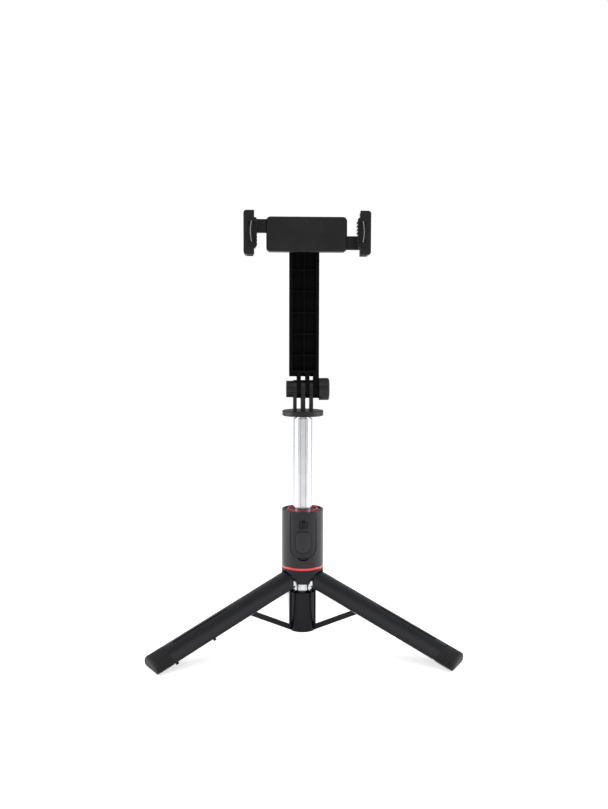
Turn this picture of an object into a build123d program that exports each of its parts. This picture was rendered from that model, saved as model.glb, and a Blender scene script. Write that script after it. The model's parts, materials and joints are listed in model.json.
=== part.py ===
"""Selfie stick with a tripod handle: three fold-out legs with struts, a five-tube telescopic mast,
a tilting neck, a swivelling sprung phone clamp and a pull-out remote.

Millimetres. +Z is up, +X is to the right and -Y faces the user. The origin is where the mast's axis
meets the floor, between the three feet, with the legs open and the mast down.
"""
from build123d import *
from math import atan2, cos, degrees, hypot, radians, sin, sqrt
import os

# ---------------------------------------------------------------- driving dimensions
# handle
body_radius = 15.0
body_height = 40.6
body_wall = 1.8
sleeve_wall = 0.9
core_wall = 0.9
accent_ring_height = 1.8
accent_ring_proud = 0.1
hub_height = 9.9
tongue_drop = 3.7

# mast
mast_radius = 6.95
tube_wall = 0.5
tube_gap = 0.3
flat_depth = 0.22
tube_count = 5
mast_length = 135.2
stage_step = 0.4
bush_length = 20.0
lip_length = 1.2
plug_length = 5.0

# legs
leg_length = 117.0
leg_wall = 1.6
leg_side_wall = 1.4
leg_side_depth = 4.2
leg_open_angle = 68.2
leg_gap_angle = 3.0
leg_pivot_radius = 10.6
leg_pin_radius = 0.9
knuckle_radius = 2.0
knuckle_width = 4.2
foot_length = 13.0
foot_depth = 10.8
foot_pad_length = 3.75
foot_end_round = 2.2
rib_pitch = 12.0

# struts and the spreader that slides with the mast
strut_pin_along = 45.0
strut_pin_radius_from_mast = 10.4
strut_pin_radius = 0.9
strut_height = 3.7
strut_thickness = 1.8
spreader_radius = 10.0
spreader_height = 29.3
spreader_pin_from_mast = 8.2
spreader_pin_above_end = 1.8
spreader_pin_drop = 38.5
cross_pin_radius = 0.7
cross_pin_length = 3.8
spreader_foot = 19.0

# remote
remote_width = 19.0
remote_height = 33.1
remote_corner = 7.0
remote_wall = 1.0
remote_back_wall = 1.0
button_width = 10.6
button_height = 15.0
button_above_end = 11.3
led_below_top = 3.2
button_proud = 0.45
button_travel = 0.5
battery_diameter = 12.5
battery_thickness = 1.6
board_thickness = 0.8
contact_gap = 0.15
button_thickness = 1.8

# mount head, neck and tilt joint
disc_radius = 14.75
disc_height = 3.9
disc_above_mast = 2.0
tilt_above_disc = 15.1
finger_radius = 6.5
middle_finger = 3.0
outer_finger = 2.4
neck_finger = 2.9
neck_width = 21.1
neck_offset = 0.65
neck_depth = 9.0
neck_rim = 2.3
neck_recess = 6.4
neck_rib = 1.0
yoke_gap = 2.6
yoke_height = 4.4
yoke_bevel = 2.7
arm_length = 108.0
pivot_bolt_radius = 2.5
knob_radius = 7.95
knob_width = 7.3
nut_radius = 5.95
nut_width = 5.0

# clamp
clamp_shift = 1.25
clamp_width = 56.0
clamp_height = 24.0
washer_thickness = 1.0
washer_radius = 6.6
back_plate_thickness = 2.6
clamp_cavity = 4.0
cover_wall = 1.5
tongue_thickness = 3.6
tongue_reach = 8.0
jaw_height = 29.8
jaw_wall = 2.3
jaw_lip_thickness = 2.4
jaw_lip_reach = 5.0
hold_width = 70.6
hold_depth = 8.2
pad_height = 20.0
pad_thickness = 5.8
pad_lip = 0.9
pad_proud = 0.3
pad_frame = 0.9
jaw_in = 8.0
swivel_screw_radius = 2.5
spring_radius = 1.5
spring_wire = 0.3

# fits
running_clearance = 0.05
sliding_clearance = 0.15
free_clearance = 0.3

# ---------------------------------------------------------------- places worked out from them
leg_slope = 90.0 - leg_open_angle
leg_ends = {"left": 210.0, "right": 330.0, "rear": 90.0}
foot_drop = leg_pivot_radius - (body_radius - foot_depth)
pivot_z = ((leg_length - foot_pad_length) * sin(radians(leg_slope))
           + foot_drop * cos(radians(leg_slope)))
hub_bottom = pivot_z - tongue_drop
ring_bottom = hub_bottom + hub_height
body_bottom = ring_bottom + accent_ring_height
body_top = body_bottom + body_height
sleeve_bore = mast_radius + running_clearance
sleeve_radius = sleeve_bore + sleeve_wall
core_radius = sleeve_radius + core_wall

spreader_pin_z = pivot_z - spreader_pin_drop
spreader_bottom = spreader_pin_z - spreader_pin_above_end
spreader_top = spreader_bottom + spreader_height
mast_bottom = spreader_bottom + spreader_foot
mast_top = mast_bottom + mast_length
disc_bottom = mast_top + disc_above_mast
disc_top = disc_bottom + disc_height
tilt_z = disc_top + tilt_above_disc
clamp_z = tilt_z + arm_length

strut_top_x = (leg_pivot_radius + strut_pin_along * cos(radians(leg_slope))
               + (strut_pin_radius_from_mast - leg_pivot_radius) * sin(radians(leg_slope)))
strut_top_z = (pivot_z - strut_pin_along * sin(radians(leg_slope))
               + (strut_pin_radius_from_mast - leg_pivot_radius) * cos(radians(leg_slope)))
strut_length = hypot(strut_top_x - spreader_pin_from_mast, strut_top_z - spreader_pin_z)
strut_angle = degrees(atan2(strut_top_z - spreader_pin_z, strut_top_x - spreader_pin_from_mast))
folded_lean = strut_pin_radius_from_mast - spreader_pin_from_mast
mast_travel = strut_pin_along + sqrt(strut_length**2 - folded_lean**2) - spreader_pin_drop

channel_floor = core_radius
remote_back = channel_floor + running_clearance
remote_bottom = body_top - remote_height

neck_left = neck_offset - neck_width / 2
neck_right = neck_offset + neck_width / 2
swivel_x = neck_offset + clamp_shift
yoke_bottom = tilt_z + finger_radius + yoke_gap
yoke_top = yoke_bottom + yoke_height
clamp_back = neck_depth / 2 + washer_thickness
cavity_back = clamp_back + back_plate_thickness
cover_back = cavity_back + clamp_cavity
clamp_front = cover_back + cover_wall
jaw_front = clamp_front + hold_depth
jaw_inner = hold_width / 2 + pad_thickness
jaw_outer = jaw_inner + jaw_wall
tongue_back = cavity_back + (clamp_cavity - tongue_thickness) / 2
tongue_low = 1.0
tongue_high = clamp_height / 2 - cover_wall - sliding_clearance
tongue_middle = (tongue_low + tongue_high) / 2

os.makedirs("parts", exist_ok=True)


def save(piece, name):
    """Label a finished sub-part and write it as its own file."""
    piece.part.label = name
    export_step(piece.part, f"parts/{name}.step")


def flatted_outline(radius):
    """Outline of a round tube with a shallow flat in front and behind, so that it can't turn."""
    with BuildSketch() as outline:
        Circle(radius)
        Rectangle(2 * radius, 2 * (radius - flat_depth), mode=Mode.INTERSECT)
    return outline.sketch


def sector_outline(inner, outer, half_angle):
    """Part of a ring about the mast's axis, centred on +X."""
    reach = 2 * outer
    with BuildSketch() as outline:
        Circle(outer)
        Circle(inner, mode=Mode.SUBTRACT)
        with BuildLine():
            Polyline((0, 0), (reach * cos(radians(half_angle)), reach * sin(radians(half_angle))),
                     (reach, reach), (reach, -reach),
                     (reach * cos(radians(half_angle)), -reach * sin(radians(half_angle))), (0, 0))
        make_face(mode=Mode.INTERSECT)
    return outline.sketch


# ---------------------------------------------------------------- handle: hub, ring and shell
screw_radius = 0.8
screw_head_radius = 1.45
screw_head_height = 1.2
screw_circle = 13.2
screw_grip = 4.0
screw_length = hub_height - screw_head_height + accent_ring_height + screw_grip
arch_radius = 10.2
arch_apex = 5.0

with BuildPart() as leg_hub:
    with BuildSketch(Plane.XY.offset(hub_bottom)):
        Circle(body_radius)
    extrude(amount=hub_height)
    with PolarLocations(0, 3, start_angle=leg_ends["left"]):
        with Locations(Location((body_radius, 0, pivot_z + arch_apex - arch_radius), (0, 90, 0))):
            Cylinder(arch_radius, 2 * body_radius, mode=Mode.SUBTRACT)
        with Locations((body_radius, 0, pivot_z + arch_apex - arch_radius - body_radius)):
            Box(2 * body_radius, 2 * arch_radius, 2 * body_radius, mode=Mode.SUBTRACT)
    with BuildSketch(Plane.XY.offset(hub_bottom)):
        Circle(core_radius)
    extrude(amount=hub_height)
    ear_inner = knuckle_width / 2 + sliding_clearance
    ear_width = 1.7
    with PolarLocations(0, 3, start_angle=leg_ends["left"]):
        for ear_side in (-1, 1):
            ear_y = ear_side * (ear_inner + ear_width / 2)
            with Locations(Location((leg_pivot_radius, ear_y, pivot_z), (90, 0, 0))):
                Cylinder(knuckle_radius, ear_width)
            with Locations(((core_radius - 1 + leg_pivot_radius) / 2, ear_y, pivot_z)):
                Box(leg_pivot_radius - core_radius + 1, ear_width, 2 * knuckle_radius)
        with Locations(Location((leg_pivot_radius, 0, pivot_z), (90, 0, 0))):
            Cylinder(leg_pin_radius, 4 * knuckle_width, mode=Mode.SUBTRACT)
            Cylinder(knuckle_radius + sliding_clearance, 2 * ear_inner, mode=Mode.SUBTRACT)
    with BuildSketch(Plane.XY.offset(hub_bottom)):
        Circle(sleeve_radius)
    extrude(amount=hub_height, mode=Mode.SUBTRACT)
    with Locations(Location((0, 0, hub_bottom), (180, 0, 0))):
        with PolarLocations(screw_circle, 3, start_angle=leg_ends["rear"]):
            CounterBoreHole(screw_radius + running_clearance, screw_head_radius + running_clearance,
                            screw_head_height)
save(leg_hub, "leg_hub")

ear_span = 2 * (ear_inner + ear_width)
with BuildPart() as leg_hinge_pins:
    with PolarLocations(0, 3, start_angle=leg_ends["left"]):
        with Locations(Location((leg_pivot_radius, 0, pivot_z), (90, 0, 0))):
            Cylinder(leg_pin_radius, ear_span)
save(leg_hinge_pins, "leg_hinge_pins")

with BuildPart() as accent_ring:
    with BuildSketch(Plane.XY.offset(ring_bottom)):
        Circle(body_radius + accent_ring_proud)
        Circle(sleeve_radius, mode=Mode.SUBTRACT)
        with PolarLocations(screw_circle, 3, start_angle=30):
            Circle(screw_radius + running_clearance, mode=Mode.SUBTRACT)
    extrude(amount=accent_ring_height)
    rim = accent_ring.edges().filter_by(GeomType.CIRCLE).sort_by(SortBy.RADIUS)[-2:]
    fillet(rim, accent_ring_height / 4)
save(accent_ring, "accent_ring")

with BuildPart() as mast_sleeve:
    with BuildSketch(Plane.XY.offset(hub_bottom)):
        Circle(sleeve_radius)
        add(flatted_outline(sleeve_bore), mode=Mode.SUBTRACT)
    extrude(amount=body_top - hub_bottom)
save(mast_sleeve, "mast_sleeve")


def remote_outline(growth):
    """Front view of the remote: straight sides, a rounded lower end and a flat top."""
    half = remote_width / 2 + growth
    low = remote_bottom - growth
    high = body_top
    corner = remote_corner + growth
    with BuildSketch(Plane.XZ) as outline:
        with Locations((0, (low + high) / 2)):
            Rectangle(2 * half, high - low)
        fillet(outline.vertices().group_by(Axis.Z)[0], corner)
    return outline.sketch


shell_top_wall = 2.6
top_recess = 0.7
top_rim = 1.7
channel_wall = 1.4
notch_width = 8.0
notch_height = 2.2
notch_depth = 2.0

with BuildPart() as body_shell:
    with BuildSketch(Plane.XY.offset(body_bottom)):
        Circle(body_radius)
    extrude(amount=body_height)
    top_edge = body_shell.edges().group_by(Axis.Z)[-1]
    fillet(top_edge, 0.5)
    with BuildSketch(Plane.XY.offset(body_top)):
        Circle(body_radius - top_rim)
    extrude(amount=-top_recess, mode=Mode.SUBTRACT)
    with BuildSketch(Plane.XY.offset(body_bottom)):
        Circle(body_radius - body_wall)
        Circle(core_radius, mode=Mode.SUBTRACT)
        with PolarLocations(screw_circle, 3, start_angle=30):
            Circle(screw_radius + 1.0, mode=Mode.SUBTRACT)
        for rib_angle in (0, 60, 120, 180):
            with Locations(Rot(0, 0, rib_angle)):
                Rectangle(2 * body_radius, 1.2, mode=Mode.SUBTRACT)
    extrude(amount=body_height - shell_top_wall, mode=Mode.SUBTRACT)
    # walls round the remote's channel, inside the shell
    with BuildSketch(Plane.XY.offset(remote_bottom - channel_wall - sliding_clearance)):
        Circle(body_radius - 0.5)
        with Locations((0, -(channel_floor + body_radius) / 2)):
            Rectangle(remote_width + 2 * (channel_wall + sliding_clearance),
                      body_radius - channel_floor + 2 * core_wall, mode=Mode.INTERSECT)
    extrude(amount=remote_height + channel_wall + sliding_clearance - top_recess)
    with BuildSketch(Plane.XZ.offset(channel_floor)):
        add(Plane.XZ.to_local_coords(remote_outline(sliding_clearance)))
    extrude(amount=2 * body_radius, mode=Mode.SUBTRACT)
    # thumb notch under the remote
    with BuildSketch(Plane.XZ.offset(body_radius - notch_depth)):
        with Locations((0, remote_bottom)):
            Ellipse(notch_width / 2, notch_height)
    extrude(amount=2 * body_radius, mode=Mode.SUBTRACT)
    # bore for the mast's sleeve, and the holes for the hub's screws
    with BuildSketch(Plane.XY.offset(body_bottom)):
        Circle(sleeve_radius)
    extrude(amount=body_height, mode=Mode.SUBTRACT)
    with BuildSketch(Plane.XY.offset(body_bottom)):
        with PolarLocations(screw_circle, 3, start_angle=30):
            Circle(screw_radius)
    extrude(amount=screw_grip + sliding_clearance, mode=Mode.SUBTRACT)
save(body_shell, "body_shell")

with BuildPart() as hub_screws:
    with Locations((0, 0, hub_bottom)):
        with PolarLocations(screw_circle, 3, start_angle=30):
            Cylinder(screw_head_radius, screw_head_height,
                     align=(Align.CENTER, Align.CENTER, Align.MIN))
            Cylinder(screw_radius, screw_head_height + screw_length,
                     align=(Align.CENTER, Align.CENTER, Align.MIN))
            Box(2.0, 0.5, 1.0, mode=Mode.SUBTRACT)
save(hub_screws, "hub_screws")

# thin ring that stands in the recess of the top and passes over the remote's upper end
collar_height = 0.9
collar_radius = 11.0
collar_width = 1.0
with BuildPart() as red_collar:
    with BuildSketch(Plane.XY.offset(body_top)):
        Circle(collar_radius)
        Circle(collar_radius - collar_width, mode=Mode.SUBTRACT)
    extrude(amount=collar_height - top_recess)
    with BuildSketch(Plane.XY.offset(body_top - top_recess)):
        Circle(collar_radius)
        Circle(collar_radius - collar_width, mode=Mode.SUBTRACT)
        with Locations((0, body_radius - channel_floor + sliding_clearance)):
            Rectangle(2 * body_radius, 2 * body_radius, mode=Mode.INTERSECT)
    extrude(amount=top_recess)
save(red_collar, "red_collar")

# ---------------------------------------------------------------- remote
remote_split = remote_back + remote_back_wall
case_front = body_radius - remote_wall
board_front = remote_split + board_thickness
battery_front = board_front + battery_thickness
button_back = body_radius + button_proud - button_thickness
switch_height = button_back - button_travel - running_clearance - board_front
button_z = remote_bottom + button_above_end
button_centre_gap = sliding_clearance


def remote_section(front_radius, half_width, back):
    """Plan view of the remote: flat back and sides, with a front that follows the handle."""
    with BuildSketch() as section:
        Circle(front_radius)
        with Locations((0, -(back + front_radius) / 2)):
            Rectangle(2 * half_width, front_radius - back, mode=Mode.INTERSECT)
    return section.sketch


with BuildPart() as remote_cavity:
    with BuildSketch(Plane.XY.offset(remote_bottom + remote_wall)):
        add(remote_section(case_front, remote_width / 2 - remote_wall, remote_split))
    extrude(amount=remote_height - 2 * remote_wall)
    with BuildSketch(Plane.XZ):
        add(Plane.XZ.to_local_coords(remote_outline(-remote_wall)))
    extrude(amount=2 * body_radius, mode=Mode.INTERSECT)

with BuildPart() as remote_front_case:
    with BuildSketch(Plane.XY.offset(remote_bottom)):
        add(remote_section(body_radius, remote_width / 2, remote_split))
    extrude(amount=remote_height)
    with BuildSketch(Plane.XZ):
        add(Plane.XZ.to_local_coords(remote_outline(0)))
    extrude(amount=2 * body_radius, mode=Mode.INTERSECT)
    add(remote_cavity.part, mode=Mode.SUBTRACT)
    with BuildSketch(Plane.XZ.offset(remote_split)):
        with Locations((0, button_z)):
            RectangleRounded(button_width + 2 * button_centre_gap, button_height
                             + 2 * button_centre_gap, 4.2)
        with Locations((0, body_top - led_below_top)):
            Circle(0.6)
    extrude(amount=body_radius, mode=Mode.SUBTRACT)
save(remote_front_case, "remote_front_case")

with BuildPart() as remote_back_case:
    with BuildSketch(Plane.XY.offset(remote_bottom)):
        with Locations((0, -(remote_back + remote_split) / 2)):
            Rectangle(remote_width, remote_back_wall)
    extrude(amount=remote_height)
    with BuildSketch(Plane.XZ):
        add(Plane.XZ.to_local_coords(remote_outline(0)))
    extrude(amount=2 * body_radius, mode=Mode.INTERSECT)
save(remote_back_case, "remote_back_case")

switch_body = 1.5
battery_z = button_z + switch_body + 0.6 + battery_diameter / 2
with BuildPart() as remote_battery:
    with Locations(Location((0, -board_front, battery_z), (90, 0, 0))):
        Cylinder(battery_diameter / 2, battery_thickness,
                 align=(Align.CENTER, Align.CENTER, Align.MIN))
save(remote_battery, "remote_battery")

board_width = remote_width - 2 * remote_wall - 2 * free_clearance
board_height = remote_height - 2 * remote_wall - 2 * free_clearance
with BuildPart() as remote_board:
    with Locations((0, -(remote_split + board_front) / 2, (remote_bottom + body_top) / 2)):
        Box(board_width, board_thickness, board_height)
    with BuildSketch(Plane.XZ):
        add(Plane.XZ.to_local_coords(remote_outline(-remote_wall - free_clearance)))
    extrude(amount=2 * body_radius, mode=Mode.INTERSECT)
save(remote_board, "remote_board")

with BuildPart() as battery_contact:
    with Locations((0, -battery_front - contact_gap / 2, battery_z)):
        Box(6.0, contact_gap, 2.4)
save(battery_contact, "battery_contact")

with BuildPart() as remote_switch:
    with Locations(Location((0, -board_front, button_z), (90, 0, 0))):
        Cylinder(switch_body, switch_height - 0.5, align=(Align.CENTER, Align.CENTER, Align.MIN))
        Cylinder(0.8, switch_height, align=(Align.CENTER, Align.CENTER, Align.MIN))
save(remote_switch, "remote_switch")

with BuildPart() as remote_led:
    with Locations(Location((0, -board_front, body_top - led_below_top), (90, 0, 0))):
        Cylinder(0.5, body_radius - board_front - 0.5, align=(Align.CENTER, Align.CENTER, Align.MIN))
save(remote_led, "remote_led")

with BuildPart() as remote_button:
    with BuildSketch(Plane.XZ.offset(button_back)):
        with Locations((0, button_z)):
            RectangleRounded(button_width, button_height, 4.0)
    extrude(amount=body_radius)
    with BuildSketch(Plane.XY.offset(remote_bottom)):
        Circle(body_radius + button_proud)
    extrude(amount=remote_height, mode=Mode.INTERSECT)
    front_edges = remote_button.faces().sort_by(Axis.Y)[0].edges()
    fillet(front_edges, 0.35)
save(remote_button, "remote_button")

# ---------------------------------------------------------------- mast
tube_radii = [mast_radius - (tube_wall + tube_gap) * number for number in range(tube_count)]
tube_bottoms = [mast_bottom] + [mast_bottom + plug_length + stage_step * number
                                for number in range(1, tube_count)]
tube_tops = [mast_top + stage_step * number for number in range(tube_count - 1)]
tube_tops.append(disc_bottom + disc_height / 2)

for number in range(tube_count):
    outer = tube_radii[number]
    low = tube_bottoms[number]
    high = tube_tops[number]
    innermost = number == tube_count - 1
    with BuildPart() as mast_tube:
        with BuildSketch(Plane.XY.offset(low)):
            add(flatted_outline(outer))
        extrude(amount=high - low)
        with BuildSketch(Plane.XY.offset(low)):
            add(flatted_outline(outer - tube_wall))
        extrude(amount=high - low - (0 if innermost else lip_length), mode=Mode.SUBTRACT)
        if not innermost:
            with BuildSketch(Plane.XY.offset(low)):
                add(flatted_outline(tube_radii[number + 1] + running_clearance))
            extrude(amount=high - low, mode=Mode.SUBTRACT)
    save(mast_tube, f"mast_tube_{number + 1}")

stage_travels = []
for number in range(1, tube_count):
    bush_outer = tube_radii[number - 1] - tube_wall - running_clearance
    low = tube_bottoms[number]
    with BuildPart() as mast_bush:
        with BuildSketch(Plane.XY.offset(low)):
            add(flatted_outline(bush_outer))
            add(flatted_outline(tube_radii[number]), mode=Mode.SUBTRACT)
        extrude(amount=bush_length)
        with BuildSketch(Plane.XY.offset(low - stage_step / 2)):
            add(flatted_outline(bush_outer))
        extrude(amount=stage_step / 2)
    save(mast_bush, f"mast_bush_{number + 1}")
    stage_travels.append(tube_tops[number - 1] - lip_length - low - bush_length - free_clearance)

# ---------------------------------------------------------------- spreader, fixed to the outer tube
plug_radius = mast_radius - tube_wall
with BuildPart() as tube_plug:
    with BuildSketch(Plane.XY.offset(mast_bottom)):
        add(flatted_outline(plug_radius))
        Circle(1.6, mode=Mode.SUBTRACT)
    extrude(amount=plug_length - stage_step)
save(tube_plug, "tube_plug")

slot_width = strut_thickness + 2 * 0.2
slot_floor = spreader_pin_from_mast - strut_height / 2 - free_clearance
pin_play = 0.45
pocket_inner = spreader_pin_from_mast - cross_pin_radius - sliding_clearance
pocket_outer = spreader_pin_from_mast + cross_pin_radius + pin_play + sliding_clearance
pocket_width = cross_pin_length + 2 * sliding_clearance
with BuildPart() as spreader:
    with BuildSketch(Plane.XY.offset(spreader_bottom)):
        Circle(spreader_radius)
    extrude(amount=spreader_height)
    chamfer(spreader.edges().group_by(Axis.Z)[-1], 0.6)
    fillet(spreader.edges().group_by(Axis.Z)[0], 0.8)
    with BuildSketch(Plane.XY.offset(mast_bottom)):
        add(flatted_outline(mast_radius))
    extrude(amount=spreader_height, mode=Mode.SUBTRACT)
    with BuildSketch(Plane.XY.offset(spreader_bottom)):
        Circle(1.6)
    extrude(amount=spreader_height, mode=Mode.SUBTRACT)
    with BuildSketch(Plane.XY.offset(spreader_bottom)):
        Circle(3.4)
    extrude(amount=3.2, mode=Mode.SUBTRACT)
    with PolarLocations(0, 3, start_angle=leg_ends["left"]):
        with Locations(((slot_floor + 2 * spreader_radius) / 2, 0,
                        spreader_bottom + spreader_height / 2)):
            Box(2 * spreader_radius - slot_floor, slot_width, spreader_height + 1,
                mode=Mode.SUBTRACT)
        pocket_top = spreader_pin_above_end + cross_pin_radius + 0.2
        with Locations(((pocket_inner + pocket_outer) / 2, 0,
                        spreader_bottom + pocket_top / 2 - 0.5)):
            Box(pocket_outer - pocket_inner, pocket_width, pocket_top + 1.0, mode=Mode.SUBTRACT)
save(spreader, "spreader")

with BuildPart() as spreader_screw:
    with Locations((0, 0, spreader_bottom + 1.4)):
        Cylinder(3.2, 1.8, align=(Align.CENTER, Align.CENTER, Align.MIN))
        Cylinder(1.5, spreader_foot + plug_length - 2.4, align=(Align.CENTER, Align.CENTER, Align.MIN))
        Cylinder(1.2, 1.0, align=(Align.CENTER, Align.CENTER, Align.MIN), mode=Mode.SUBTRACT)
save(spreader_screw, "spreader_screw")

# ---------------------------------------------------------------- legs, drawn folded along -Z
half_sector = 60.0 - leg_gap_angle / 2
inner_radius = body_radius - leg_wall
side_inner = body_radius - leg_side_depth
dome_top = 0.5
dome_edge = tongue_drop + 0.4
dome_half_width = 10.2
dome_centre = (dome_half_width**2 + dome_edge**2 - dome_top**2) / (2 * (dome_edge + dome_top))
dome_radius = dome_centre + dome_top
shell_end = leg_length - foot_length
lug_width = 1.6
lug_inner = strut_thickness / 2 + sliding_clearance
lug_depth = 2.2
peg_radius = 1.1
peg_height = 1.3
peg_places = (72.7, 102.3)
rib_thickness = 1.0
rib_notch = 3.6
groove_width = 2.4
groove_depth = 0.5
groove_start = 53.0
groove_end = 97.0

with BuildPart() as leg_shell_folded:
    with BuildSketch(Plane.XY.offset(-shell_end)):
        add(sector_outline(inner_radius, body_radius, half_sector))
    extrude(amount=shell_end + dome_top)
    # side walls along both edges of the shell
    side_angle = half_sector - degrees(leg_side_wall / body_radius)
    with BuildSketch(Plane.XY.offset(-shell_end)):
        add(sector_outline(side_inner, inner_radius + 0.2, half_sector))
        add(sector_outline(side_inner - 1, inner_radius + 0.3, side_angle), mode=Mode.SUBTRACT)
    extrude(amount=shell_end + dome_top)
    # cross ribs, notched where the strut lies
    rib_count = int((shell_end - rib_pitch) / rib_pitch)
    for rib in range(1, rib_count + 1):
        rib_place = rib * rib_pitch
        if abs(rib_place - strut_pin_along) > 4:
            with BuildSketch(Plane.XY.offset(-rib_place)):
                add(sector_outline(side_inner + 0.1, inner_radius + 0.2, half_sector - 1))
                with Locations((body_radius, 0)):
                    Rectangle(2 * leg_side_depth + 4, rib_notch, mode=Mode.SUBTRACT)
            extrude(amount=rib_thickness)
    # rounded top end
    with BuildSketch(Plane.YZ) as dome:
        with Locations((0, -dome_centre)):
            Circle(dome_radius)
        with Locations((0, -dome_centre - 2 * leg_length)):
            Rectangle(3 * body_radius, 4 * leg_length)
    extrude(amount=2 * body_radius, mode=Mode.INTERSECT)
    # hinge knuckle and its web
    with Locations(Location((leg_pivot_radius, 0, 0), (90, 0, 0))):
        Cylinder(knuckle_radius, knuckle_width)
    with Locations(((leg_pivot_radius + inner_radius + 0.5) / 2, 0, -2.25)):
        Box(inner_radius + 0.5 - leg_pivot_radius, knuckle_width, 4.5)
    with Locations(Location((leg_pivot_radius, 0, 0), (90, 0, 0))):
        Cylinder(leg_pin_radius + running_clearance, 2 * knuckle_width, mode=Mode.SUBTRACT)
    # two lugs for the strut's pin
    for lug_side in (-1, 1):
        lug_y = lug_side * (lug_inner + lug_width / 2)
        with Locations(((strut_pin_radius_from_mast + inner_radius + 0.5) / 2, lug_y,
                        -strut_pin_along)):
            Box(inner_radius + 0.5 - strut_pin_radius_from_mast, lug_width, 2 * lug_depth)
        with Locations(Location((strut_pin_radius_from_mast, lug_y, -strut_pin_along), (90, 0, 0))):
            Cylinder(lug_depth, lug_width)
    with Locations(Location((strut_pin_radius_from_mast, 0, -strut_pin_along), (90, 0, 0))):
        Cylinder(strut_pin_radius, 10, mode=Mode.SUBTRACT)
    # long shallow groove on the outside
    with BuildSketch(Plane.YZ.offset(body_radius - groove_depth)):
        with Locations((0, -(groove_start + groove_end) / 2)):
            SlotOverall(groove_end - groove_start, groove_width, rotation=90)
    extrude(amount=body_radius, mode=Mode.SUBTRACT)
    # pegs on one side wall and sockets on the other, which meet when the legs are folded
    peg_mid = (side_inner + inner_radius) / 2
    for peg_place in peg_places:
        with Locations(Location((0, 0, -peg_place), (0, 0, half_sector))):
            with Locations(Location((peg_mid, -leg_side_wall / 2, 0), (-90, 0, 0))):
                Cylinder(peg_radius, peg_height + leg_side_wall / 2,
                         align=(Align.CENTER, Align.CENTER, Align.MIN))
        with Locations(Location((0, 0, -peg_place), (0, 0, -half_sector))):
            with Locations(Location((peg_mid, 0, 0), (-90, 0, 0))):
                Cylinder(peg_radius + free_clearance, 4 * leg_side_wall, mode=Mode.SUBTRACT)

floor_normal = (cos(radians(leg_slope)), 0, sin(radians(leg_slope)))
floor_point = (leg_pivot_radius - pivot_z * floor_normal[0], 0, -pivot_z * floor_normal[2])
foot_flat = body_radius - foot_depth
spigot_length = 6.0
with BuildPart() as leg_foot_folded:
    with BuildSketch(Plane.XY.offset(-leg_length)):
        add(sector_outline(foot_flat / 2, body_radius, half_sector))
        with Locations((foot_flat + body_radius, 0)):
            Rectangle(2 * body_radius, 4 * body_radius, mode=Mode.INTERSECT)
    extrude(amount=foot_length)
    end_face = leg_foot_folded.faces().sort_by(Axis.Z)[0]
    outer_end = end_face.edges().filter_by(GeomType.CIRCLE)
    fillet(outer_end, foot_end_round)
    # spigot that plugs into the leg
    with BuildSketch(Plane.XY.offset(-shell_end)):
        add(sector_outline(side_inner + 0.3, inner_radius - running_clearance, side_angle - 4))
    extrude(amount=spigot_length)
    split(bisect_by=Plane(origin=floor_point, z_dir=floor_normal), keep=Keep.TOP)


def leg_place(azimuth):
    """Where a leg that was drawn folded stands when it is open."""
    swing = Pos(leg_pivot_radius, 0, pivot_z) * Rot(0, -leg_open_angle, 0)
    return Rot(0, 0, azimuth) * swing * Pos(-leg_pivot_radius, 0, 0)


strut_pin_length = 2 * (lug_inner + lug_width)
for side, azimuth in leg_ends.items():
    with BuildPart() as leg_shell:
        add(leg_shell_folded.part.moved(leg_place(azimuth)))
    save(leg_shell, f"leg_shell_{side}")

    with BuildPart() as leg_foot:
        add(leg_foot_folded.part.moved(leg_place(azimuth)))
    save(leg_foot, f"leg_foot_{side}")

    with BuildPart() as strut_pin:
        with Locations(Rot(0, 0, azimuth) * Location((strut_top_x, 0, strut_top_z), (90, 0, 0))):
            Cylinder(strut_pin_radius, strut_pin_length)
    save(strut_pin, f"strut_pin_{side}")

    strut_plane = Plane(Rot(0, 0, azimuth) * Location((strut_top_x, 0, strut_top_z), (90, 0, 0)))
    strut_reach_x = spreader_pin_from_mast - strut_top_x
    strut_reach_z = spreader_pin_z - strut_top_z
    with BuildPart() as strut:
        with BuildSketch(strut_plane):
            with BuildLine():
                Line((0, 0), (strut_reach_x, strut_reach_z))
            trace(line_width=strut_height)
            Circle(strut_height / 2)
            with Locations((strut_reach_x, strut_reach_z)):
                Circle(strut_height / 2)
        extrude(amount=strut_thickness / 2, both=True)
        with BuildSketch(strut_plane):
            with Locations((strut_reach_x, strut_reach_z)):
                Circle(cross_pin_radius)
        extrude(amount=cross_pin_length / 2, both=True)
        with BuildSketch(strut_plane):
            Circle(strut_pin_radius + running_clearance)
        extrude(amount=strut_thickness, both=True, mode=Mode.SUBTRACT)
    save(strut, f"strut_{side}")

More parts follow.
